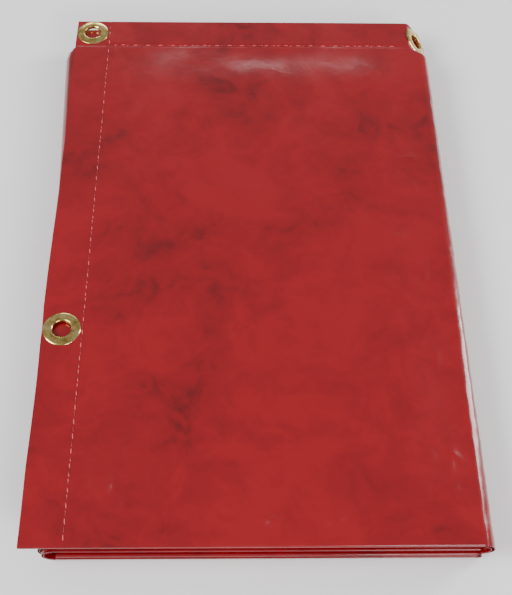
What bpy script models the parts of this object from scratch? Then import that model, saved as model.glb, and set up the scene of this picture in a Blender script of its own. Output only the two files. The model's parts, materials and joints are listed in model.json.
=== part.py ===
"""A welding curtain screen of coloured vinyl, folded for the shelf: one sheet, stitched hems, brass eyes.

The sheet is folded to four plies along its height, and that long strip is then folded in a zigzag
into four leaves. From the top down the stack is top leaf, middle leaf, inner leaf and bottom leaf.
The top leaf opens to the right about the right bend.
The middle leaf opens to the left about the left bend.
Sizes are in metres, +Z is up, +Y points away from the near fold, and +X to the right.
In the functions below, "down" is a distance from the far edge of the pack towards the near one.
"""

import math

import bmesh
import bpy
from mathutils import Matrix, Vector

# Driving dimensions
FOLDED_WIDTH = 0.304  # left edge of the top leaf to the right bend
FOLDED_LENGTH = 0.474  # far edge to near fold
SHEET = 0.0004  # thickness of the vinyl
GAP = 0.0003  # clearance between pieces that lie on each other
PLAIN_PITCH = 0.0013  # from ply to ply where nothing is fastened between them
FOLD_STEPS = 4  # facets round half a turn of a ply
BEND_STEPS = 8  # facets round half a turn of a leaf

GROMMET_RADIUS = 0.0135
EYE_RADIUS = 0.0068
BARREL_WALL = 0.0008
FLANGE_HEIGHT = 0.0011
WASHER_HEIGHT = 0.0007
WASHER_RADIUS = 0.0130
GROMMET_SIDES = 16

EDGE_MARGIN = 0.0005  # vinyl left between a grommet's rim and the edge of the sheet
THREAD_RADIUS = 0.00035
THREAD_SIDES = 6
EYE_SPACING = 0.300  # along the side hems
FOLD_GROMMET_TILT = math.radians(48)  # the top hem's second grommet leans over the right bend
FOLD_GROMMET_LIFT = 0.0016  # how far that one stands out of the bend
NOTCH_MARGIN = 0.0018  # room round that grommet

FAR_FOLD_DOWN = 0.006  # where the second ply turns into the third
LAST_PLY_DOWN = 0.012  # where the fourth ply ends
NEAR_FOLD_SLIP = 0.003  # the lower near fold lies this far inside the upper one
LOWER_NEAR_SLIP = 0.002  # the lower leaves lie this far inside the top one
LEFT_BEND_OUT = 0.012  # at the far edge the left bend stands out past the top leaf
LEFT_BEND_IN = 0.0095  # at the near edge it lies under the top leaf
LEFT_FAR_DOWN = 0.016  # at the left bend the lower leaves start this far down
INNER_EDGE_CLEAR = 0.001  # from the left bend's axis to the edge of the inner leaf
THREAD_END = 0.004  # bare vinyl past each end of a seam

PLIES = 4
MID_SLIPS = (0.0, 0.020, 0.006, 0.014)  # how far each ply's grommet has slipped past the top one's
CORNER_SLIPS = {0: 0.0, 1: 0.020, 3: 0.014}  # the third ply has no corner grommet

# Worked out from the above
EYE_INSET = GROMMET_RADIUS + EDGE_MARGIN
HEM_WIDTH = 2 * EYE_INSET + THREAD_RADIUS + GAP
HALF_SHEET = SHEET / 2
FLANGE_TOP = HALF_SHEET + GAP + FLANGE_HEIGHT  # above the middle of the vinyl
WASHER_BOTTOM = HALF_SHEET + GAP + WASHER_HEIGHT  # below the middle of the vinyl
BACK_TO_BACK = 2 * WASHER_BOTTOM + GAP  # pitch of two plies whose washers meet
FACE_TO_FACE = 2 * FLANGE_TOP + GAP  # pitch of two plies whose flanges meet
HEM_HEIGHTS = (0.0, BACK_TO_BACK, BACK_TO_BACK + FACE_TO_FACE, 2 * BACK_TO_BACK + FACE_TO_FACE)
BARREL_RADIUS = EYE_RADIUS + BARREL_WALL
SHEET_HOLE_RADIUS = BARREL_RADIUS + GAP

# Middle of each ply above the floor, from the first ply to the fourth
BOTTOM_LEVELS = [HALF_SHEET + PLAIN_PITCH * (PLIES - 1 - i) for i in range(PLIES)]
INNER_START = BOTTOM_LEVELS[0] + HALF_SHEET + GAP + FLANGE_TOP
INNER_LEVELS = [INNER_START + height for height in HEM_HEIGHTS]
MIDDLE_START = INNER_LEVELS[-1] + FLANGE_TOP + GAP + HALF_SHEET
MIDDLE_LEVELS = [MIDDLE_START + PLAIN_PITCH * i for i in range(PLIES)]
TOP_START = MIDDLE_LEVELS[-1] + HALF_SHEET + GAP + FLANGE_TOP
TOP_LEVELS = [TOP_START + height for height in reversed(HEM_HEIGHTS)]

UPPER_BEND_RADIUS = (TOP_LEVELS[0] - MIDDLE_LEVELS[0]) / 2 + HALF_SHEET
LEFT_BEND_RADIUS = (MIDDLE_LEVELS[-1] - BOTTOM_LEVELS[-1]) / 2 + HALF_SHEET
RIGHT_AXIS_X = FOLDED_WIDTH - UPPER_BEND_RADIUS
RIGHT_AXIS_Z = (TOP_LEVELS[0] + MIDDLE_LEVELS[0]) / 2
LEFT_AXIS_Z = (MIDDLE_LEVELS[0] + BOTTOM_LEVELS[0]) / 2
LEFT_AXIS_FAR_X = LEFT_BEND_RADIUS - LEFT_BEND_OUT
LEFT_AXIS_NEAR_X = LEFT_BEND_RADIUS + LEFT_BEND_IN
HALF_TURN = Matrix.Rotation(math.pi, 4, "X")


def clear_scene():
    for obj in list(bpy.data.objects):
        bpy.data.objects.remove(obj, do_unlink=True)


def make_material(name, color, roughness, metallic):
    material = bpy.data.materials.new(name)
    material.use_nodes = True
    shader = material.node_tree.nodes["Principled BSDF"]
    shader.inputs["Base Color"].default_value = (*color, 1.0)
    shader.inputs["Roughness"].default_value = roughness
    shader.inputs["Metallic"].default_value = metallic
    return material


def mesh_object(name, mesh, material, parent):
    """A smooth-shaded object whose mesh is in pack coordinates, hung on the empty at its joint's axis."""
    mesh.materials.append(material)
    mesh.shade_smooth()
    mesh.set_sharp_from_angle(angle=math.radians(40))
    obj = bpy.data.objects.new(name, mesh)
    bpy.context.scene.collection.objects.link(obj)
    mesh.transform(Matrix.Translation(-parent.location))
    obj.parent = parent
    return obj


def make_empty(name, location):
    empty = bpy.data.objects.new(name, None)
    empty.location = location
    bpy.context.scene.collection.objects.link(empty)
    return empty


def mesh_from(name, points, faces):
    work = bmesh.new()
    verts = [work.verts.new(point) for point in points]
    for face in faces:
        work.faces.new([verts[i] for i in face])
    bmesh.ops.recalc_face_normals(work, faces=work.faces)
    mesh = bpy.data.meshes.new(name)
    work.to_mesh(mesh)
    work.free()
    return mesh


def from_far(down):
    """World Y of a place this far down from the far edge."""
    return FOLDED_LENGTH / 2 - down


def left_axis_x(down):
    return LEFT_AXIS_FAR_X + (LEFT_AXIS_NEAR_X - LEFT_AXIS_FAR_X) * down / FOLDED_LENGTH


# ---- The folded sheet


def ply_side(levels, far_shift, near_slip, offset):
    """(down, z) points along one face of the four plies, from the first ply's far edge to the fourth's."""
    apexes = (
        FOLDED_LENGTH - near_slip,
        FAR_FOLD_DOWN + far_shift,
        FOLDED_LENGTH - near_slip - NEAR_FOLD_SLIP,
    )
    sign = math.copysign(1, levels[0] - levels[1])
    points = [(far_shift, levels[0] + sign * offset)]
    for i, apex in enumerate(apexes):
        toward = -1 if i == 1 else 1
        reach = -offset if i == 1 else offset
        middle = (levels[i] + levels[i + 1]) / 2
        half = abs(levels[i] - levels[i + 1]) / 2
        centre = apex - toward * (half + HALF_SHEET)
        for step in range(FOLD_STEPS + 1):
            angle = math.pi * step / FOLD_STEPS
            radius = half + reach
            down = centre + toward * radius * math.sin(angle)
            points.append((down, middle + sign * radius * math.cos(angle)))
    points.append((LAST_PLY_DOWN + far_shift, levels[-1] - sign * offset))
    return points


def ply_section(levels, far_shift=0.0, near_slip=0.0):
    """The closed outline of four plies folded on each other, as (down, z) points."""
    outer = ply_side(levels, far_shift, near_slip, HALF_SHEET)
    inner = ply_side(levels, far_shift, near_slip, -HALF_SHEET)
    return outer + inner[::-1]


def loft(name, stations):
    """A closed solid through stations, each a list of points round the same section."""
    around = len(stations[0])
    side = around // 2
    points = [point for station in stations for point in station]
    faces = []
    for i in range(len(stations) - 1):
        start, end = i * around, (i + 1) * around
        for j in range(around):
            k = (j + 1) % around
            faces.append((start + j, start + k, end + k, end + j))
    last = (len(stations) - 1) * around
    for base in (0, last):
        for j in range(side - 1):
            faces.append((base + j, base + j + 1, base + around - 2 - j, base + around - 1 - j))
    return mesh_from(name, points, faces)


def flat_station(section, x_at):
    return [(x_at(down), from_far(down), z) for down, z in section]


def leaf_mesh(name, levels, left_x, right_x, left_shift, near_slip):
    left = flat_station(ply_section(levels, left_shift, near_slip), left_x)
    right = flat_station(ply_section(levels, 0.0, near_slip), right_x)
    return loft(name, [left, right])


def bend_mesh(name, upper, lower, axis_x, outward):
    """The half turn that joins two leaves: each point swings round the middle between its two ends."""
    stations = []
    for step in range(BEND_STEPS + 1):
        angle = math.pi * step / BEND_STEPS
        share = (1 - math.cos(angle)) / 2
        station = []
        for (down_a, z_a), (down_b, z_b) in zip(upper, lower):
            down = down_a + (down_b - down_a) * share
            half = (z_a - z_b) / 2
            x = axis_x(down) + outward * half * math.sin(angle)
            station.append((x, from_far(down), (z_a + z_b) / 2 + half * math.cos(angle)))
        stations.append(station)
    return loft(name, stations)


# ---- Grommets


def turned_mesh(name, profile, turn):
    """A ring turned from a closed (radius, z) profile, then put in place by turn."""
    points, faces = [], []
    for step in range(GROMMET_SIDES):
        angle = 2 * math.pi * step / GROMMET_SIDES
        for radius, z in profile:
            points.append(turn @ Vector((radius * math.cos(angle), radius * math.sin(angle), z)))
    count = len(profile)
    for step in range(GROMMET_SIDES):
        here, there = step * count, (step + 1) % GROMMET_SIDES * count
        for j in range(count):
            k = (j + 1) % count
            faces.append((here + j, here + k, there + k, there + j))
    return mesh_from(name, points, faces)


def flange_profile():
    """The grommet half: a rolled flange over the face of the hem and a barrel through it."""
    foot = HALF_SHEET + GAP
    rim = GROMMET_RADIUS - BARREL_RADIUS
    return [
        (BARREL_RADIUS, -WASHER_BOTTOM),
        (BARREL_RADIUS, foot),
        (GROMMET_RADIUS - 0.05 * rim, foot),
        (GROMMET_RADIUS, foot + 0.3 * FLANGE_HEIGHT),
        (GROMMET_RADIUS - 0.2 * rim, foot + 0.8 * FLANGE_HEIGHT),
        (GROMMET_RADIUS - 0.5 * rim, foot + FLANGE_HEIGHT),
        (BARREL_RADIUS + 0.1 * rim, foot + 0.8 * FLANGE_HEIGHT),
        (EYE_RADIUS, foot + 0.2 * FLANGE_HEIGHT),
        (EYE_RADIUS, -WASHER_BOTTOM),
    ]


def washer_profile():
    """The washer half, on the back of the hem, with the barrel through it."""
    top = -HALF_SHEET - GAP
    bore = BARREL_RADIUS + GAP
    return [
        (bore, -WASHER_BOTTOM),
        (bore, top),
        (WASHER_RADIUS, top),
        (WASHER_RADIUS, top - 0.5 * WASHER_HEIGHT),
        (WASHER_RADIUS - 0.5 * WASHER_HEIGHT, -WASHER_BOTTOM),
    ]


def add_grommet(label, turn, brass, parent):
    for part, profile in (("grommet", flange_profile()), ("washer", washer_profile())):
        name = label.format(part)
        mesh_object(name, turned_mesh(name, profile, turn), brass, parent)


def add_cutter(name, work, turn, root):
    bmesh.ops.transform(work, verts=work.verts, matrix=turn)
    mesh = bpy.data.meshes.new(name)
    work.to_mesh(mesh)
    work.free()
    obj = bpy.data.objects.new(name, mesh)
    bpy.context.scene.collection.objects.link(obj)
    obj.hide_render = True
    obj.display_type = "WIRE"
    obj.parent = root
    return obj


def hole_cutter(name, turn, root):
    """A drill for a grommet's barrel, reaching through its own ply only."""
    work = bmesh.new()
    bmesh.ops.create_cone(
        work,
        cap_ends=True,
        segments=GROMMET_SIDES,
        radius1=SHEET_HOLE_RADIUS,
        radius2=SHEET_HOLE_RADIUS,
        depth=2 * WASHER_BOTTOM,
    )
    return add_cutter(name, work, turn, root)


def notch_cutter(name, turn, root):
    """A block that clears the room of a tilted grommet, out to the far edge and above its washer."""
    reach = GROMMET_RADIUS + NOTCH_MARGIN
    low, high = -WASHER_BOTTOM - GAP, 2 * GROMMET_RADIUS
    work = bmesh.new()
    bmesh.ops.create_cube(work, size=1.0)
    bmesh.ops.scale(work, verts=work.verts, vec=(2 * reach, 3 * reach, high - low))
    bmesh.ops.translate(work, verts=work.verts, vec=(0, reach / 2, (high + low) / 2))
    return add_cutter(name, work, turn, root)


def cut(obj, tool):
    modifier = obj.modifiers.new(tool.name, "BOOLEAN")
    modifier.operation = "DIFFERENCE"
    modifier.object = tool


def side_eyes():
    """(ply, down) of each grommet along a side hem, as the four plies bring them together."""
    corners = [(ply, EYE_INSET + slip) for ply, slip in CORNER_SLIPS.items()]
    middles = [(ply, EYE_INSET + EYE_SPACING + slip) for ply, slip in enumerate(MID_SLIPS)]
    return corners + middles


def add_side_hem(label, leaf, levels, edge_x, face_up, brass, root):
    """The seven grommets of one side hem, each through its own ply of this leaf."""
    for number, (ply, down) in enumerate(side_eyes(), 1):
        place = Vector((edge_x(down) + EYE_INSET, from_far(down), levels[ply]))
        turn = Matrix.Translation(place)
        ply_faces_up = (ply % 2 == 0) == face_up
        add_grommet(f"{label}_{{}}_{number}", turn if ply_faces_up else turn @ HALF_TURN, brass, leaf.parent)
        cut(leaf, hole_cutter(f"{label}_hole_{number}", turn, root))


def fold_grommet_turn():
    """The place of the top hem's second grommet: a flat ring set across the right bend's far corner."""
    outward = Vector((math.sin(FOLD_GROMMET_TILT), 0, math.cos(FOLD_GROMMET_TILT)))
    x = FOLDED_WIDTH - GROMMET_RADIUS * math.cos(FOLD_GROMMET_TILT)
    z = TOP_LEVELS[0] + HALF_SHEET - GROMMET_RADIUS * math.sin(FOLD_GROMMET_TILT)
    place = Vector((x, from_far(EYE_INSET), z)) + FOLD_GROMMET_LIFT * outward
    return Matrix.Translation(place) @ Matrix.Rotation(FOLD_GROMMET_TILT, 4, "Y")


def add_fold_grommet(leaves, brass, parent, root):
    turn = fold_grommet_turn()
    add_grommet("top_hem_{}", turn, brass, parent)
    notch = notch_cutter("fold_grommet_notch", turn, root)
    for leaf in leaves:
        cut(leaf, notch)


def add_thread(name, start, end, thread, parent):
    """A straight run of seam thread on the top leaf, from start to end as (x, down)."""
    z = TOP_LEVELS[0] + HALF_SHEET + GAP + THREAD_RADIUS
    low = Vector((start[0], from_far(start[1]), z))
    high = Vector((end[0], from_far(end[1]), z))
    work = bmesh.new()
    bmesh.ops.create_cone(
        work,
        cap_ends=True,
        segments=THREAD_SIDES,
        radius1=THREAD_RADIUS,
        radius2=THREAD_RADIUS,
        depth=(high - low).length,
    )
    turn = (high - low).to_track_quat("Z", "Y").to_matrix().to_4x4()
    bmesh.ops.transform(work, verts=work.verts, matrix=Matrix.Translation((low + high) / 2) @ turn)
    mesh = bpy.data.meshes.new(name)
    work.to_mesh(mesh)
    work.free()
    mesh_object(name, mesh, thread, parent)


def add_seams(thread, parent):
    near = FOLDED_LENGTH - THREAD_END
    right = RIGHT_AXIS_X - GROMMET_RADIUS - NOTCH_MARGIN
    add_thread("side_hem_thread", (HEM_WIDTH, THREAD_END), (HEM_WIDTH, near), thread, parent)
    add_thread("top_hem_thread", (HEM_WIDTH + THREAD_END, HEM_WIDTH), (right, HEM_WIDTH), thread, parent)


# ---- The pack


def centre_on_origin(root):
    """Puts the middle of the pack's box over the origin; its lowest vinyl is already at height zero."""
    bpy.context.view_layer.update()
    shown = [obj for obj in bpy.data.objects if obj.type == "MESH" and not obj.hide_render]
    xs = [(obj.matrix_world @ Vector(corner)).x for obj in shown for corner in obj.bound_box]
    root.location.x = -(min(xs) + max(xs)) / 2


def main():
    clear_scene()
    vinyl = make_material("red_vinyl", (0.45, 0.01, 0.015), 0.12, 0.0)
    brass = make_material("stamped_brass", (0.72, 0.55, 0.22), 0.2, 1.0)
    thread = make_material("red_thread", (0.5, 0.05, 0.06), 0.6, 0.0)

    root = make_empty("pack", (0, 0, 0))
    middle_hinge = make_empty("left_bend_axis", (left_axis_x(FOLDED_LENGTH / 2), 0, LEFT_AXIS_Z))
    top_hinge = make_empty("right_bend_axis", (RIGHT_AXIS_X, 0, RIGHT_AXIS_Z))

    def at_left_axis(down):
        return left_axis_x(down) + GAP

    def at_inner_edge(down):
        return left_axis_x(down) + INNER_EDGE_CLEAR

    def at_right_axis(down):
        return RIGHT_AXIS_X - GAP

    def at_top_edge(down):
        return 0.0

    def right_axis(down):
        return RIGHT_AXIS_X

    def leaf(name, levels, left_x, left_shift, near_slip, parent):
        mesh = leaf_mesh(name, levels, left_x, at_right_axis, left_shift, near_slip)
        return mesh_object(name, mesh, vinyl, parent)

    top = leaf("top_leaf", TOP_LEVELS, at_top_edge, 0.0, 0.0, top_hinge)
    middle = leaf("middle_leaf", MIDDLE_LEVELS, at_left_axis, LEFT_FAR_DOWN, LOWER_NEAR_SLIP, middle_hinge)
    inner = leaf("inner_leaf", INNER_LEVELS, at_inner_edge, 0.0, LOWER_NEAR_SLIP, root)
    leaf("bottom_leaf", BOTTOM_LEVELS, at_left_axis, LEFT_FAR_DOWN, LOWER_NEAR_SLIP, root)

    def section(levels, near_slip, far_shift=0.0):
        return ply_section(levels, far_shift, near_slip)

    upper = section(TOP_LEVELS, 0.0), section(MIDDLE_LEVELS, LOWER_NEAR_SLIP)
    lower = section(INNER_LEVELS, LOWER_NEAR_SLIP), section(BOTTOM_LEVELS, LOWER_NEAR_SLIP)
    left = [section(levels, LOWER_NEAR_SLIP, LEFT_FAR_DOWN) for levels in (MIDDLE_LEVELS, BOTTOM_LEVELS)]
    upper_mesh = bend_mesh("right_bend", *upper, right_axis, 1)
    right_bend = mesh_object("right_bend", upper_mesh, vinyl, middle_hinge)
    mesh_object("inner_bend", bend_mesh("inner_bend", *lower, right_axis, 1), vinyl, root)
    mesh_object("left_bend", bend_mesh("left_bend", *left, left_axis_x, -1), vinyl, root)

    add_side_hem("left_hem", top, TOP_LEVELS, at_top_edge, True, brass, root)
    add_side_hem("right_hem", inner, INNER_LEVELS, at_inner_edge, False, brass, root)
    add_fold_grommet((top, middle, right_bend), brass, top_hinge, root)
    add_seams(thread, top_hinge)

    for hinge in (middle_hinge, top_hinge):
        hinge.parent = root
    centre_on_origin(root)


main()
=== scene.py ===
# Folded welding screen: red press-polished vinyl with a stitched hem and brass grommets.
# The frame gives every place; the sheets, stitches and grommets are made fine here.

import json
import math
import random

import bmesh
import bpy
import numpy as np
from mathutils import Matrix, Vector, noise


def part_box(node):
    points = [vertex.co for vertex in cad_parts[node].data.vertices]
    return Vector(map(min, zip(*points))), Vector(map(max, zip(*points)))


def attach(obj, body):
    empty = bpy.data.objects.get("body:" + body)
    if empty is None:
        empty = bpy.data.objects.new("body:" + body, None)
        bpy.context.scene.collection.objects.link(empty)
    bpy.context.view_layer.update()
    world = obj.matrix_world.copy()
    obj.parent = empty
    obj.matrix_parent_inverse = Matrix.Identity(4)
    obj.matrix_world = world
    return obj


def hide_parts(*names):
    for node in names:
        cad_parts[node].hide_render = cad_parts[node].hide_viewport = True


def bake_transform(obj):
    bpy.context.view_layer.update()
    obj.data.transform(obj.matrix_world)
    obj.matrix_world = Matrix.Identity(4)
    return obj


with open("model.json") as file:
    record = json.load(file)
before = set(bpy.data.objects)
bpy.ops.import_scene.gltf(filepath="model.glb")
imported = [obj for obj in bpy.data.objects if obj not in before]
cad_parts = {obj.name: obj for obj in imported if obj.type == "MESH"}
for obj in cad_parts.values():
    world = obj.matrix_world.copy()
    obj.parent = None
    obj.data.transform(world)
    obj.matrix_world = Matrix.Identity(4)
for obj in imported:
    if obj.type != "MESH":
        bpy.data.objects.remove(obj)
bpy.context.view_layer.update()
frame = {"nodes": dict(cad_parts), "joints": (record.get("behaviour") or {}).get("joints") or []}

print("frame loaded:", len(frame["nodes"]), "nodes")


# Small tools

def hexLinear(code):
    values = [int(code[i:i + 2], 16) / 255 for i in (1, 3, 5)]
    return tuple(v / 12.92 if v < 0.04045 else ((v + 0.055) / 1.055) ** 2.4 for v in values) + (1.0,)


def perMetre(millimetres):
    return 1000 / millimetres  # a noise texture's scale for features of this size


def addNode(tree, kind, settings=None, links=None):
    # settings go on inputs by name or on the node itself; links are {input: (node, output)}
    node = tree.nodes.new(kind)
    for key, value in (settings or {}).items():
        if key in node.inputs:
            node.inputs[key].default_value = value
        else:
            setattr(node, key, value)
    for key, (source, output) in (links or {}).items():
        tree.links.new(source.outputs[output], node.inputs[key])
    return node


def newMaterial(name):
    material = bpy.data.materials.new(name)
    material.use_nodes = True
    tree = material.node_tree
    return material, tree, tree.nodes["Principled BSDF"]


def addRamp(tree, source, output, stops):
    ramp = addNode(tree, "ShaderNodeValToRGB", links={"Fac": (source, output)})
    elements = ramp.color_ramp.elements
    while len(elements) < len(stops):
        elements.new(0.5)
    for element, (at, color) in zip(elements, stops):
        element.position = at
        element.color = color
    return ramp


def smooth(value):
    value = np.clip(value, 0.0, 1.0)
    return value * value * (3 - 2 * value)


# Materials

vinylLook = {
    "clear": "#8c0814",     # red where light comes back through the plies
    "middle": "#7d0812",
    "dark": "#5c060d",      # where two plies cling and look wet
    "cloudMm": 62,          # size of the clinging patches
    "blotchMm": 17,
    "peelMm": 2.6,          # the faint orange peel of pressed vinyl
    "rippleMm": 34,
    "roughness": (0.10, 0.24),
    "ior": 1.53,
}


def pressPolishedPvc(name, look, shadeValue=1.0):
    # calendered PVC, press polished: a wet gloss over a deep red, clouded where plies cling
    material, tree, shader = newMaterial(name)
    place = addNode(tree, "ShaderNodeTexCoord")
    warp = addNode(tree, "ShaderNodeTexNoise", {"Scale": perMetre(look["cloudMm"] * 0.8), "Detail": 2.0},
                   {"Vector": (place, "Object")})
    pushed = addNode(tree, "ShaderNodeVectorMath", {"operation": "MULTIPLY_ADD"}, {0: (warp, "Color")})
    pushed.inputs[1].default_value = (0.03, 0.03, 0.0)  # how far the clouds are dragged about, in metres
    tree.links.new(place.outputs["Object"], pushed.inputs[2])
    clouds = addNode(tree, "ShaderNodeTexNoise",
                     {"Scale": perMetre(look["cloudMm"]), "Detail": 4.0, "Roughness": 0.62,
                      "Distortion": 0.4},
                     {"Vector": (pushed, "Vector")})
    blotches = addNode(tree, "ShaderNodeTexNoise",
                       {"Scale": perMetre(look["blotchMm"]), "Detail": 5.0, "Roughness": 0.58,
                        "Distortion": 0.8},
                       {"Vector": (pushed, "Vector")})
    both = addNode(tree, "ShaderNodeMath", {"operation": "MULTIPLY_ADD"},
                   {0: (blotches, "Fac"), 2: (clouds, "Fac")})
    both.inputs[1].default_value = 0.45  # blotches count for less than clouds
    ramp = addRamp(tree, both, "Value", [
        (0.46, hexLinear(look["dark"])),
        (0.62, hexLinear(look["middle"])),
        (0.84, hexLinear(look["clear"])),
    ])
    # a value below 1 darkens the whole colour: painted shade for the plies that lie underneath
    deep = addNode(tree, "ShaderNodeHueSaturation", {"Value": shadeValue}, {"Color": (ramp, "Color")})
    tree.links.new(deep.outputs["Color"], shader.inputs["Base Color"])
    smear = addNode(tree, "ShaderNodeMapRange",
                    {"From Min": 0.3, "From Max": 0.7,
                     "To Min": look["roughness"][0], "To Max": look["roughness"][1]},
                    {"Value": (clouds, "Fac")})
    tree.links.new(smear.outputs["Result"], shader.inputs["Roughness"])
    peel = addNode(tree, "ShaderNodeTexNoise", {"Scale": perMetre(look["peelMm"]), "Detail": 2.0},
                   {"Vector": (place, "Object")})
    fine = addNode(tree, "ShaderNodeBump", {"Strength": 0.12, "Distance": 0.0002}, {"Height": (peel, "Fac")})
    ripple = addNode(tree, "ShaderNodeTexNoise",
                     {"Scale": perMetre(look["rippleMm"]), "Detail": 3.0, "Distortion": 1.2},
                     {"Vector": (place, "Object")})
    bumped = addNode(tree, "ShaderNodeBump", {"Strength": 0.25, "Distance": 0.0012},
                     {"Height": (ripple, "Fac"), "Normal": (fine, "Normal")})
    tree.links.new(bumped.outputs["Normal"], shader.inputs["Normal"])
    shader.inputs["IOR"].default_value = look["ior"]
    shader.inputs["Coat Weight"].default_value = 0.25
    shader.inputs["Coat Roughness"].default_value = 0.06
    shader.inputs["Sheen Weight"].default_value = 0.05   # the milky edge of clear vinyl seen at a slant
    shader.inputs["Sheen Roughness"].default_value = 0.35
    shader.inputs["Sheen Tint"].default_value = hexLinear("#ffb9bd")
    return material


brassLook = {
    "bright": "#e8d394",
    "worn": "#c2a75c",
    "tarnish": "#7a6431",
    "patchMm": 5,
    "scratchMm": 0.9,       # drawn coarser than real die marks, which are too fine to show
    "roughness": (0.10, 0.30),
}


def stampedBrass(look):
    # stamped and rolled brass: bright, worn and tarnished tones in random patches, with fine die marks
    material, tree, shader = newMaterial("stampedBrass")
    place = addNode(tree, "ShaderNodeTexCoord")
    patches = addNode(tree, "ShaderNodeTexNoise",
                      {"Scale": perMetre(look["patchMm"]), "Detail": 4.0, "Roughness": 0.6},
                      {"Vector": (place, "Object")})
    ramp = addRamp(tree, patches, "Fac", [
        (0.28, hexLinear(look["tarnish"])),
        (0.45, hexLinear(look["worn"])),
        (0.62, hexLinear(look["bright"])),
    ])
    tree.links.new(ramp.outputs["Color"], shader.inputs["Base Color"])
    rough = addNode(tree, "ShaderNodeMapRange",
                    {"From Min": 0.3, "From Max": 0.7,
                     "To Min": look["roughness"][1], "To Max": look["roughness"][0]},
                    {"Value": (patches, "Fac")})
    tree.links.new(rough.outputs["Result"], shader.inputs["Roughness"])
    marks = addNode(tree, "ShaderNodeTexNoise", {"Scale": perMetre(look["scratchMm"]), "Detail": 3.0},
                    {"Vector": (place, "Object")})
    bump = addNode(tree, "ShaderNodeBump", {"Strength": 0.15, "Distance": 0.0001},
                   {"Height": (marks, "Fac")})
    tree.links.new(bump.outputs["Normal"], shader.inputs["Normal"])
    shader.inputs["Metallic"].default_value = 1.0
    return material


threadLook = {
    "light": "#d8545a",
    "shade": "#8f1a20",
    "twistMm": 0.8,
    "waveShare": 20,        # a wave texture repeats about this much finer than a noise one
}


def twistedPolyester(look):
    # twisted polyester seam thread: matt, with painted shade as the dark line between its strands
    material, tree, shader = newMaterial("twistedPolyester")
    place = addNode(tree, "ShaderNodeTexCoord")
    twist = addNode(tree, "ShaderNodeTexWave",
                    {"Scale": perMetre(look["twistMm"]) / look["waveShare"], "bands_direction": "DIAGONAL",
                     "Distortion": 0.5},
                    {"Vector": (place, "Object")})
    # painted shade in the grooves between the strands, running from the shade colour to the light one
    ramp = addRamp(tree, twist, "Fac", [(0.2, hexLinear(look["shade"])), (0.7, hexLinear(look["light"]))])
    tree.links.new(ramp.outputs["Color"], shader.inputs["Base Color"])
    bump = addNode(tree, "ShaderNodeBump", {"Strength": 0.4, "Distance": 0.0001}, {"Height": (twist, "Fac")})
    tree.links.new(bump.outputs["Normal"], shader.inputs["Normal"])
    shader.inputs["Roughness"].default_value = 0.55
    return material


def paleBackdrop():
    material, tree, shader = newMaterial("paleBackdrop")
    shader.inputs["Base Color"].default_value = hexLinear("#fbfbfb")
    shader.inputs["Roughness"].default_value = 0.9
    return material


vinyl = pressPolishedPvc("pressPolishedPvc", vinylLook)
# a copy darkened to 0.92 for the lower leaves and the inner plies of the bends: painted shade
shadedLowerVinyl = pressPolishedPvc("pressPolishedPvcShadedLower", vinylLook, 0.92)
brass = stampedBrass(brassLook)
threadMaterial = twistedPolyester(threadLook)
print("materials made")


# Places, from the frame

joints = {joint["name"]: joint for joint in frame["joints"]}
topLow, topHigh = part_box("top_leaf")
middleLow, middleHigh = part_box("middle_leaf")
innerLow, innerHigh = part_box("inner_leaf")
bottomLow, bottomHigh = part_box("bottom_leaf")
rightX = joints["top_leaf_opens"]["pos_m"][0]
leftPoint = Vector(joints["middle_leaf_opens"]["pos_m"])
leftSlope = joints["middle_leaf_opens"]["axis"][0] / joints["middle_leaf_opens"]["axis"][1]
packLength = topHigh.y - topLow.y

sheet = {
    "thickness": 0.0004,
    "washerStandOff": 0.0005,   # from the middle of the vinyl to a washer's inner face
    "farFoldDown": 0.006,       # where the second ply turns into the third
    "lastPlyDown": 0.012,       # where the fourth ply ends
    "nearSlip": 0.003,          # the lower near fold lies this far inside the upper one
    "leftFarDown": 0.016,       # the lower leaves start this far down at the left bend
    "lowerEdgeClear": 0.0001,   # how far the leaves' left edges stand off the left bend's axis
    "innerEdgeClear": 0.001,
    "fineStep": 0.0016,         # mesh spacing on the ply that shows
    "coarseStep": 0.006,
    "foldSteps": 6,
    "bendSteps": 14,
}
half = sheet["thickness"] / 2


sheetHole = 0.0079
brassLow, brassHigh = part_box("top_hem_grommet")
tilt = math.radians(48)
shoulder = {
    "centre": (brassLow + brassHigh) / 2,
    "normal": np.array((math.sin(tilt), 0.0, math.cos(tilt))),
    "firstPly": 0.0009,      # the vinyl's depth behind the middle of the flange
    "otherPlies": 0.0026,
    "plyStep": 0.0006,
    "flat": 0.0128,
    "fade": 0.011,
}


def leftAxisX(y):
    return leftPoint.x + leftSlope * (y - leftPoint.y)


def plyLevels(hem, numbers):
    # middle of each ply, read from the washers that clamp it
    levels = []
    for number in numbers:
        washerLow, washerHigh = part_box(f"{hem}_washer_{number}")
        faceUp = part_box(f"{hem}_grommet_{number}")[1].z > washerHigh.z + half
        stand = sheet["washerStandOff"]
        levels.append(washerHigh.z + stand if faceUp else washerLow.z - stand)
    return levels


def evenLevels(first, last):
    return [first + (last - first) * i / 3 for i in range(4)]


topLevels = plyLevels("left_hem", range(4, 8))
innerLevels = plyLevels("right_hem", range(4, 8))
middleLevels = evenLevels(middleLow.z + half, middleHigh.z - half)
bottomLevels = evenLevels(bottomHigh.z - half, bottomLow.z + half)
print("ply levels, mm:", [round(z * 1000, 2) for z in topLevels + middleLevels + innerLevels + bottomLevels])


# Folded sheets

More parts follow.
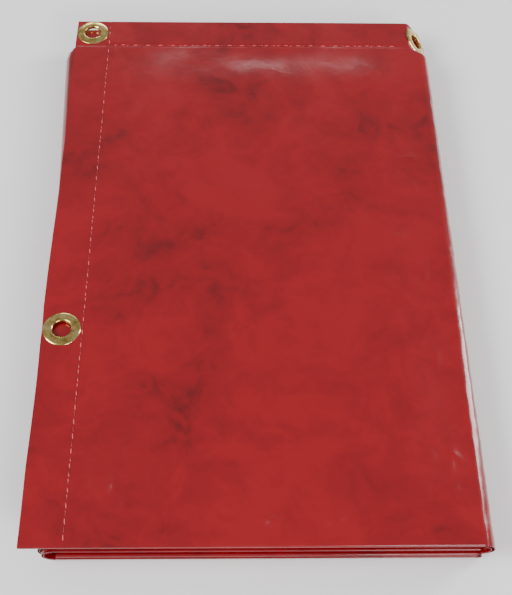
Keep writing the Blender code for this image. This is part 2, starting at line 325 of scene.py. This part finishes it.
def foldPath(levels, nearY, farShift=0.0, step=None, firstStep=None):
    # points down the middle of the four plies: (y, z, ply), with the folds as half turns
    step = step or sheet["coarseStep"]
    farY = topHigh.y - farShift
    ends = [nearY, farY - sheet["farFoldDown"], nearY + sheet["nearSlip"]]
    path = []
    y = farY
    for ply in range(4):
        last = ply == 3
        spacing = firstStep if ply == 0 and firstStep else step
        if last:
            stop = farY - sheet["lastPlyDown"]
        else:
            radius = abs(levels[ply] - levels[ply + 1]) / 2
            toward = 1 if ply == 1 else -1
            stop = ends[ply] - toward * (radius + half)
        count = max(2, int(abs(stop - y) / spacing))
        for k in range(count + 1):
            path.append((y + (stop - y) * k / count, levels[ply], ply))
        if last:
            break
        centre = (levels[ply] + levels[ply + 1]) / 2
        reach = (levels[ply] - levels[ply + 1]) / 2
        for k in range(1, sheet["foldSteps"]):
            angle = math.pi * k / sheet["foldSteps"]
            y = stop + toward * radius * math.sin(angle)
            path.append((y, centre + reach * math.cos(angle), ply + 0.5))
        y = stop
    return path


def underGrommet(flat, ply):
    # pulls the vinyl down flat behind the grommet that leans over the bend, the lower plies further
    gap = flat - np.array(shoulder["centre"])
    above = gap @ shoulder["normal"]
    reach = np.linalg.norm(gap - above[:, None] * shoulder["normal"], axis=1)
    limit = np.where(ply < 0.01, -shoulder["firstPly"], -shoulder["otherPlies"] - ply * shoulder["plyStep"])
    hold = 1 - smooth((reach - shoulder["flat"]) / shoulder["fade"])
    over = np.maximum(above - limit, 0) * hold * (above < 0.02)
    return flat - over[:, None] * shoulder["normal"], (reach < sheetHole) & (ply < 0.01) & (above > -0.003)


def gridSheet(name, points, plies, holes=()):
    # points is a grid [station][path point]; holes are (ply, x, y, radius)
    rows, columns = len(points), len(points[0])
    flat = np.array(points, float).reshape(-1, 3)
    inside = np.zeros(len(flat), int) - 1
    ply = np.tile(np.array(plies), rows)
    pierced = None
    if name.startswith(("topLeaf", "rightBend")):
        flat, pierced = underGrommet(flat, ply)
    for number, (holePly, x, y, radius) in enumerate(holes):
        near = np.hypot(flat[:, 0] - x, flat[:, 1] - y) < radius
        inside[near & (np.abs(ply - holePly) < 0.01)] = number
    faces = []
    cutEdge = set()
    for i in range(rows - 1):
        for j in range(columns - 1):
            quad = (i * columns + j, i * columns + j + 1, (i + 1) * columns + j + 1, (i + 1) * columns + j)
            hits = [inside[k] for k in quad if inside[k] >= 0]
            if pierced is not None and sum(pierced[k] for k in quad) > 2:
                continue
            if len(hits) > 2:
                cutEdge.update((k, hits[0]) for k in quad)
            else:
                faces.append(quad)
                cutEdge.update((k, inside[k]) for k in quad if inside[k] >= 0)
    used = {k for quad in faces for k in quad}
    for k, number in cutEdge:
        if k in used:
            holePly, x, y, radius = holes[number]
            out = flat[k, :2] - (x, y)
            flat[k, :2] = (x, y) + out * radius / max(np.linalg.norm(out), 1e-9)
    mesh = bpy.data.meshes.new(name)
    mesh.from_pydata(flat.tolist(), [], faces)
    work = bmesh.new()
    work.from_mesh(mesh)
    loose = [vert for vert in work.verts if not vert.link_faces]
    bmesh.ops.delete(work, geom=loose, context="VERTS")
    work.to_mesh(mesh)
    work.free()
    obj = bpy.data.objects.new(name, mesh)
    bpy.context.scene.collection.objects.link(obj)
    thicken = obj.modifiers.new("vinylThickness", "SOLIDIFY")
    thicken.thickness = sheet["thickness"]
    thicken.offset = 0.0
    thicken.use_even_offset = False
    bpy.context.view_layer.update()
    made = bpy.data.meshes.new_from_object(obj.evaluated_get(bpy.context.evaluated_depsgraph_get()))
    obj.modifiers.clear()
    obj.data = made
    made.shade_smooth()
    made.set_sharp_from_angle(angle=math.radians(50))
    return obj


def stationsBetween(left, right, step):
    count = max(2, int((right - left) / step))
    return [k / count for k in range(count + 1)]


def eyesOf(hem, plyOfNumber, radius):
    found = []
    for number, ply in plyOfNumber.items():
        low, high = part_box(f"{hem}_grommet_{number}")
        found.append((ply, (low.x + high.x) / 2, (low.y + high.y) / 2, radius))
    return found


plyOfNumber = {1: 0, 2: 1, 3: 3, 4: 0, 5: 1, 6: 2, 7: 3}
leftEyes = eyesOf("left_hem", plyOfNumber, sheetHole)
rightEyes = eyesOf("right_hem", plyOfNumber, sheetHole)
stitchX = sum(c.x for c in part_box("side_hem_thread")) / 2
stitchY = sum(c.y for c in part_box("top_hem_thread")) / 2

drape = {
    "crown": 0.0034,          # how far the top ply stands up over the air below it
    "swell": 0.0007,          # broad rise and fall
    "swellMm": 85,
    "flutter": 0.00035,       # shorter ripples
    "flutterMm": 26,
    "hemRise": 0.00028,       # the hem is two layers thick
    "seamPinch": 0.00035,     # the stitches pull the vinyl down
    "creases": 60,            # small sharp creases near the edges
    "creaseRise": 0.0009,
    "edgeWander": 0.0012,
    "seed": 7,
}


def makeCreases(count, seed):
    # short straight creases near the left, near and right edges: (x, y, direction, length, height)
    chance = random.Random(seed)
    creases = []
    for k in range(count):
        side = k % 3
        if side == 0:
            x = topLow.x + chance.uniform(0.004, 0.075)
            y = topLow.y + chance.uniform(0.012, 0.075)
            direction = chance.uniform(1.0, 1.7)
        elif side == 1:
            x = rightX - chance.uniform(0.004, 0.035)
            y = topLow.y + chance.uniform(0.02, 0.34)
            direction = chance.uniform(-1.2, 1.9)
        else:
            x = topLow.x + chance.uniform(0.13, 0.28)
            y = topLow.y + chance.uniform(0.014, 0.028)
            direction = chance.uniform(-0.35, 0.35)
        creases.append((x, y, direction, chance.uniform(0.006, 0.018), chance.uniform(0.4, 1.0)))
    return creases


creases = makeCreases(drape["creases"], drape["seed"])


def creaseHeight(x, y):
    total = 0.0
    for cx, cy, direction, length, height in creases:
        dx, dy = x - cx, y - cy
        if abs(dx) > 0.03 or abs(dy) > 0.03:
            continue
        along = dx * math.cos(direction) + dy * math.sin(direction)
        across = -dx * math.sin(direction) + dy * math.cos(direction)
        total += height * math.exp(-(across / 0.0022) ** 2 - (along / (length / 2)) ** 4)
    return total * drape["creaseRise"]


def topRise(x, y):
    # height of the top ply above its flat level
    fromLeft, fromRight = x - stitchX, rightX - x
    fromNear = y - topLow.y
    free = smooth(fromLeft / 0.055) * smooth(fromRight / 0.05) * smooth((fromNear - 0.002) / 0.045)
    free *= smooth((stitchY - y) / 0.05)
    calm = smooth(fromRight / 0.02) * smooth((fromNear - 0.002) / 0.012)
    place = Vector((x, y, 0.0))
    swell = noise.noise(place * perMetre(drape["swellMm"])) * drape["swell"]
    flutter = noise.noise(place * perMetre(drape["flutterMm"]) + Vector((3, 1, 4))) * drape["flutter"]
    onHem = max(1 - smooth(fromLeft / 0.0014 + 0.5), 1 - smooth((stitchY - y) / 0.0014 + 0.5))
    pinch = math.exp(-(fromLeft / 0.0012) ** 2) + math.exp(-((stitchY - y) / 0.0012) ** 2)
    loose = 1 - 0.75 * onHem
    rise = drape["crown"] * free + calm * loose * (swell + flutter + creaseHeight(x, y))
    return float(rise + calm * (drape["hemRise"] * onHem - drape["seamPinch"] * pinch))


def wander(y, seed):
    return noise.noise(Vector((seed, y * 22, 0.3))) * drape["edgeWander"]


def leafGrid(levels, leftXAt, rightXAt, nearY, step, leftShift=0.0, firstStep=None, riseAt=None, loose=0.0):
    leftPath = foldPath(levels, nearY, leftShift, sheet["coarseStep"], firstStep)
    rightPath = foldPath(levels, nearY, 0.0, sheet["coarseStep"], firstStep)
    count = min(len(leftPath), len(rightPath))
    if len(leftPath) != len(rightPath):
        leftPath = [(y - leftShift * smooth((y - nearY) / packLength), z, ply) for y, z, ply in rightPath]
    grid = []
    for share in stationsBetween(0, packLength * 0.62, step):
        row = []
        for (ya, za, ply), (yb, zb, _) in zip(leftPath[:count], rightPath[:count]):
            y = float(ya + (yb - ya) * share)
            x = leftXAt(y) + (rightXAt - leftXAt(y)) * share
            z = za + (zb - za) * share
            if riseAt and ply < 0.01:
                z += riseAt(x, y)
            elif riseAt and ply < 1:
                z += max(0.0, 1 - ply) * riseAt(x, y)
            elif loose:
                held = float(smooth((rightXAt - x) / 0.03))
                z += noise.noise(Vector((x * 18, y * 18, ply * 5))) * loose * held
            row.append((x, y, z))
        grid.append(row)
    return grid, [ply for _, _, ply in rightPath]


def addLeaf(name, node, body, material, grid, plies, holes):
    piece = gridSheet(name, grid, plies, holes)
    piece.data.materials.clear()
    piece.data.materials.append(material)
    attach(piece, body)
    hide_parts(node)
    return piece


def topLeftX(y):
    return topLow.x + wander(y, 1.7) * float(smooth(abs(y - leftEyes[3][2]) / 0.02))


grid, plies = leafGrid(topLevels, topLeftX, rightX, topLow.y, sheet["fineStep"] * 1.1,
                       firstStep=sheet["fineStep"], riseAt=topRise)
topLeaf = addLeaf("topLeafVinyl", "top_leaf", "top", vinyl, grid, plies, leftEyes)
print("top leaf:", len(topLeaf.data.polygons), "faces")

lowerStep = sheet["coarseStep"]


def middleLeftX(y):
    return leftAxisX(y) + sheet["lowerEdgeClear"]


def innerLeftX(y):
    return leftAxisX(y) + sheet["innerEdgeClear"]


grid, plies = leafGrid(middleLevels, middleLeftX, rightX, middleLow.y, lowerStep, sheet["leftFarDown"],
                       loose=0.0002)
addLeaf("middleLeafVinyl", "middle_leaf", "middle", shadedLowerVinyl, grid, plies, ())
grid, plies = leafGrid(innerLevels, innerLeftX, rightX, innerLow.y, sheet["fineStep"] * 2, firstStep=0.0032)
addLeaf("innerLeafVinyl", "inner_leaf", "base", shadedLowerVinyl, grid, plies, rightEyes)
grid, plies = leafGrid(bottomLevels, middleLeftX, rightX, bottomLow.y, lowerStep, sheet["leftFarDown"])
addLeaf("bottomLeafVinyl", "bottom_leaf", "base", shadedLowerVinyl, grid, plies, ())
print("leaves made")


# Bends between the leaves

bendLook = {"crackle": 0.0004, "crackleMm": 9, "step": 0.0024}


def bendPly(name, number, upperZ, lowerZ, axisAt, outward, nearAt, farAt, bump=0.0):
    # one ply going round the side of the pack: axisAt(y) gives x of the bend's centre
    nearY, farY = nearAt, farAt
    rows = max(8, int((farY - nearY) / bendLook["step"]))
    centreZ, radius = (upperZ + lowerZ) / 2, (upperZ - lowerZ) / 2
    grid = []
    for k in range(rows + 1):
        y = nearY + (farY - nearY) * k / rows
        row = []
        for j in range(sheet["bendSteps"] + 1):
            angle = math.pi * j / sheet["bendSteps"]
            crackle = noise.noise(Vector((angle * 1.5, y * perMetre(bendLook["crackleMm"]), lowerZ * 900)))
            reach = radius + bump * crackle * math.sin(angle)
            row.append((axisAt(y) + outward * reach * math.sin(angle), y, centreZ + reach * math.cos(angle)))
        grid.append(row)
    return gridSheet(name, grid, [number] * (sheet["bendSteps"] + 1))


def addBend(node, upper, lower, axisAt, outward, nearEnds, farEnds, a=None, body=None, bump=0.0):
    pieces, widths = [], []
    for ply in range(4):
        name = f"{node}Ply{ply + 1}".replace("_b", "B")
        piece = bendPly(name, ply, upper[ply], lower[ply], axisAt, outward, nearEnds[ply], farEnds[ply],
                        bump=bump if ply == 0 else 0.0)
        piece.data.materials.clear()
        # the inner plies get the darkened copy: painted shade
        piece.data.materials.append(vinyl if ply == 0 else shadedLowerVinyl)
        across = math.pi * (upper[ply] - lower[ply]) / 2
        if body:
            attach(piece, body)
        pieces.append(piece)
        if ply == 0:
            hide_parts(node)
        if a:
            centre = axisAt(0.0)
            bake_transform(piece)
        widths.append(across)


def rightAxisX(y):
    return rightX


def plyEnds(nearY, farY):
    near = [nearY, nearY, nearY + sheet["nearSlip"], nearY + sheet["nearSlip"]]
    far = [farY, farY - sheet["farFoldDown"], farY - sheet["farFoldDown"], farY - sheet["lastPlyDown"]]
    return near, far


near, far = plyEnds(topLow.y, topHigh.y)
addBend("right_bend", topLevels, middleLevels, rightAxisX, 1, near, far, "top",
        bump=bendLook["crackle"])
near, far = plyEnds(innerLow.y, innerHigh.y)
addBend("inner_bend", innerLevels, bottomLevels, rightAxisX, 1, near, far, body="base")
near, far = plyEnds(middleLow.y, topHigh.y - sheet["leftFarDown"])
addBend("left_bend", middleLevels, bottomLevels, leftAxisX, -1, near, far, "middle")
print("bends made")


# Brass

ringSides = 64


def turned(name, profile, material):
    # profile is (radius, height), closed, turned about z
    mesh = bpy.data.meshes.new(name)
    points, faces = [], []
    count = len(profile)
    for k in range(ringSides):
        angle = 2 * math.pi * k / ringSides
        points += [(r * math.cos(angle), r * math.sin(angle), z) for r, z in profile]
    for k in range(ringSides):
        for j in range(count):
            a, b = k * count + j, k * count + (j + 1) % count
            c, d = ((k + 1) % ringSides) * count + (j + 1) % count, ((k + 1) % ringSides) * count + j
            faces.append((a, d, c, b))
    mesh.from_pydata(points, [], faces)
    obj = bpy.data.objects.new(name, mesh)
    bpy.context.scene.collection.objects.link(obj)
    work = bmesh.new()
    work.from_mesh(mesh)
    bmesh.ops.recalc_face_normals(work, faces=work.faces)
    work.to_mesh(mesh)
    work.free()
    mesh.shade_smooth()
    mesh.set_sharp_from_angle(angle=math.radians(35))
    mesh.materials.append(material)
    return obj


flangeShape = {"radius": 0.0135, "eye": 0.0068, "rise": 0.0012, "metal": 0.0004, "barrel": 0.0016}
washerShape = {"radius": 0.0128, "hole": 0.0074, "rise": 0.0009, "metal": 0.0004}


def flangeProfile():
    # a rolled crown from the outer lip, over the top and down the barrel; z 0 is the vinyl's face
    s = flangeShape
    outer, eye, metal = s["radius"], s["eye"], s["metal"]
    crown = s["rise"]
    top = [(outer - 0.00005, 0.00002), (outer, 0.0002), (outer - 0.0002, 0.00042)]
    for k in range(1, 12):
        share = k / 12
        radius = outer - 0.0002 - (outer - 0.0002 - eye) * share
        height = 0.0004 + (crown - 0.0004) * math.sin(math.pi * min(1.0, share * 1.25 + 0.06) * 0.5) ** 0.8
        drop = max(0.0, share - 0.78) / 0.22
        top.append((radius, height - (crown * 0.35) * drop ** 2))
    barrel = [(eye, crown * 0.35), (eye, -s["barrel"]), (eye + metal * 0.7, -s["barrel"])]
    inner = [(eye + metal * 0.7, 0.0001), (outer - 0.002, 0.00012)]
    return top + barrel + inner


def washerProfile():
    # z 0 is the vinyl's back face, and the washer stands away from it toward -z
    s = washerShape
    outer, hole = s["radius"], s["hole"]
    face = [(outer, -0.00008), (outer, -0.0003), (outer - 0.0006, -0.00055)]
    for k in range(1, 7):
        share = k / 7
        radius = outer - 0.0006 - (outer - 0.0006 - hole) * share
        face.append((radius, -0.00055 - (s["rise"] - 0.00055) * math.sin(math.pi * share)))
    return face + [(hole, -0.0006), (hole, -0.00008)]


def setBrass(node, washer):
    # an eye's flange and washer, seated on the two faces of its ply
    low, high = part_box(node)
    washerLow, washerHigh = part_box(washer)
    centre = (low + high) / 2
    faceUp = centre.z > (washerLow.z + washerHigh.z) / 2
    stand = sheet["washerStandOff"]
    level = washerHigh.z + stand if faceUp else washerLow.z - stand
    place = Matrix.Translation((centre.x, centre.y, level))
    if not faceUp:
        place = place @ Matrix.Rotation(math.pi, 4, "X")
    return place


def addEye(name, place, body=None, nodes=()):
    ring = turned(name + "Flange", flangeProfile(), brass)
    back = turned(name + "Washer", washerProfile(), brass)
    ring.data.transform(place @ Matrix.Translation((0, 0, half)))
    back.data.transform(place @ Matrix.Translation((0, 0, -half)))
    for piece, node in zip((ring, back), nodes):
        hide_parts(node)
        if body:
            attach(piece, body)
        else:
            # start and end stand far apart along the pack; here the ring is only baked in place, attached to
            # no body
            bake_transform(piece)
    return ring, back


for hem, body in (("left_hem", "top"), ("right_hem", "base")):
    for number in range(1, 8):
        nodes = f"{hem}_grommet_{number}", f"{hem}_washer_{number}"
        place = setBrass(*nodes)
        if hem == "left_hem" and plyOfNumber[number] == 0:
            eye = place.translation
            place = Matrix.Translation((0, 0, topRise(eye.x - 0.011, eye.y))) @ place
        addEye(f"{hem}Eye{number}".replace("_h", "H"), place, body, nodes)

# a point's share of the turn is w, and w = t * t * (3 - 2 * t) is 48 / 180 at this t
shoulder["turnShare"] = 0.3382
lean = Matrix.Translation(shoulder["centre"]) @ Matrix.Rotation(tilt, 4, "Y")
lean = lean @ Matrix.Translation((0, 0, -0.0007))
addEye("topHemEye", lean, None, ("top_hem_grommet", "top_hem_washer"))
print("brass set")


# Seams

seam = {"stitch": 0.0042, "gap": 0.0012, "radius": 0.0004, "wander": 0.00012, "seed": 11}


def addStitches(name, node, start, end, body):
    # lockstitch: short raised runs with a dip between, lying on the vinyl
    chance = random.Random(seam["seed"])
    start, end = Vector(start), Vector(end)
    along = (end - start).normalized()
    across = Vector((-along.y, along.x, 0))
    count = int((end - start).length / (seam["stitch"] + seam["gap"]))
    rings, sides = 7, 8
    points, faces = [], []
    for k in range(count):
        centre = start + along * ((k + 0.5) * (seam["stitch"] + seam["gap"]))
        centre = centre + across * chance.uniform(-seam["wander"], seam["wander"])
        slant = chance.uniform(-0.05, 0.05) + 0.07
        base = len(points)
        for i in range(rings + 1):
            share = i / rings * 2 - 1
            fat = seam["radius"] * max(0.12, (1 - abs(share) ** 4)) ** 0.5
            spot = centre + along * (share * seam["stitch"] / 2)
            spot = spot + across * (share * slant * seam["stitch"] / 2)
            lift = half + topRise(spot.x, spot.y) + seam["radius"] * (0.75 - 0.9 * share ** 4)
            for j in range(sides):
                angle = 2 * math.pi * j / sides
                side = across * (fat * math.cos(angle))
                points.append(spot + side + Vector((0, 0, lift + fat * math.sin(angle))))
        for i in range(rings):
            for j in range(sides):
                a, b = base + i * sides + j, base + i * sides + (j + 1) % sides
                faces.append((a, a + sides, b + sides, b))
        faces.append(tuple(base + j for j in range(sides)))
        faces.append(tuple(base + rings * sides + j for j in reversed(range(sides))))
    mesh = bpy.data.meshes.new(name)
    mesh.from_pydata([tuple(p) for p in points], [], faces)
    mesh.shade_smooth()
    mesh.materials.append(threadMaterial)
    obj = bpy.data.objects.new(name, mesh)
    bpy.context.scene.collection.objects.link(obj)
    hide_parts(node)
    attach(obj, body)


sideLow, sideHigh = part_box("side_hem_thread")
hemLow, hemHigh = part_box("top_hem_thread")
topZ = topLevels[0]
addStitches("sideHemStitches", "side_hem_thread", (stitchX, sideLow.y, topZ),
            (stitchX, sideHigh.y, topZ), "top")
addStitches("topHemStitches", "top_hem_thread", (hemLow.x, stitchY, topZ),
            (hemHigh.x, stitchY, topZ), "top")
print("seams sewn")


# Floor, light and camera

mesh = bpy.data.meshes.new("floor")
mesh.from_pydata([(-6, -6, 0), (6, -6, 0), (6, 6, 0), (-6, 6, 0)], [], [(0, 1, 2, 3)])
floor = bpy.data.objects.new("floor", mesh)
bpy.context.scene.collection.objects.link(floor)
floor.location.z = -0.0002
mesh.materials.append(paleBackdrop())

world = bpy.data.worlds.new("studio")
bpy.context.scene.world = world
world.use_nodes = True
world.node_tree.nodes["Background"].inputs["Color"].default_value = hexLinear("#ffffff")
world.node_tree.nodes["Background"].inputs["Strength"].default_value = 0.42


def addLight(name, at, toward, size, power):
    data = bpy.data.lights.new(name, "AREA")
    data.shape = "RECTANGLE"
    data.size, data.size_y = size
    data.energy = power
    obj = bpy.data.objects.new(name, data)
    bpy.context.scene.collection.objects.link(obj)
    obj.location = at
    obj.rotation_euler = (Vector(toward) - Vector(at)).to_track_quat("-Z", "Y").to_euler()


addLight("softLeft", (-1.3, -0.5, 1.3), (0, 0, 0), (1.0, 0.8), 34)
addLight("softFront", (0.7, -1.5, 1.0), (0, -0.05, 0), (0.9, 0.5), 20)
addLight("stripRight", (1.3, 0.5, 0.55), (0.1, 0, 0), (0.3, 1.2), 16)
addLight("stripFar", (-0.1, 1.5, 0.65), (0, 0, 0), (0.9, 0.16), 4)

view = {
    "target": (0.0055, -0.0423, 0.02),
    "distance": 0.7598,
    "elevation": 57.39,
    "azimuth": -2.22,
    "roll": 1.885,
    "lens": 61.82,
}
lift, turn = math.radians(view["elevation"]), math.radians(view["azimuth"])
back = Vector((math.sin(turn) * math.cos(lift), -math.cos(turn) * math.cos(lift), math.sin(lift)))
right = Vector((0, 0, 1)).cross(back).normalized()
up = back.cross(right)
basis = Matrix((right, up, back)).transposed().to_4x4() @ Matrix.Rotation(math.radians(view["roll"]), 4, "Z")
data = bpy.data.cameras.new("mainCamera")
data.lens = view["lens"]
data.sensor_width = 36
data.clip_start = 0.01
camera = bpy.data.objects.new("mainCamera", data)
bpy.context.scene.collection.objects.link(camera)
camera.matrix_world = Matrix.Translation(Vector(view["target"]) + back * view["distance"]) @ basis
bpy.context.scene.camera = camera
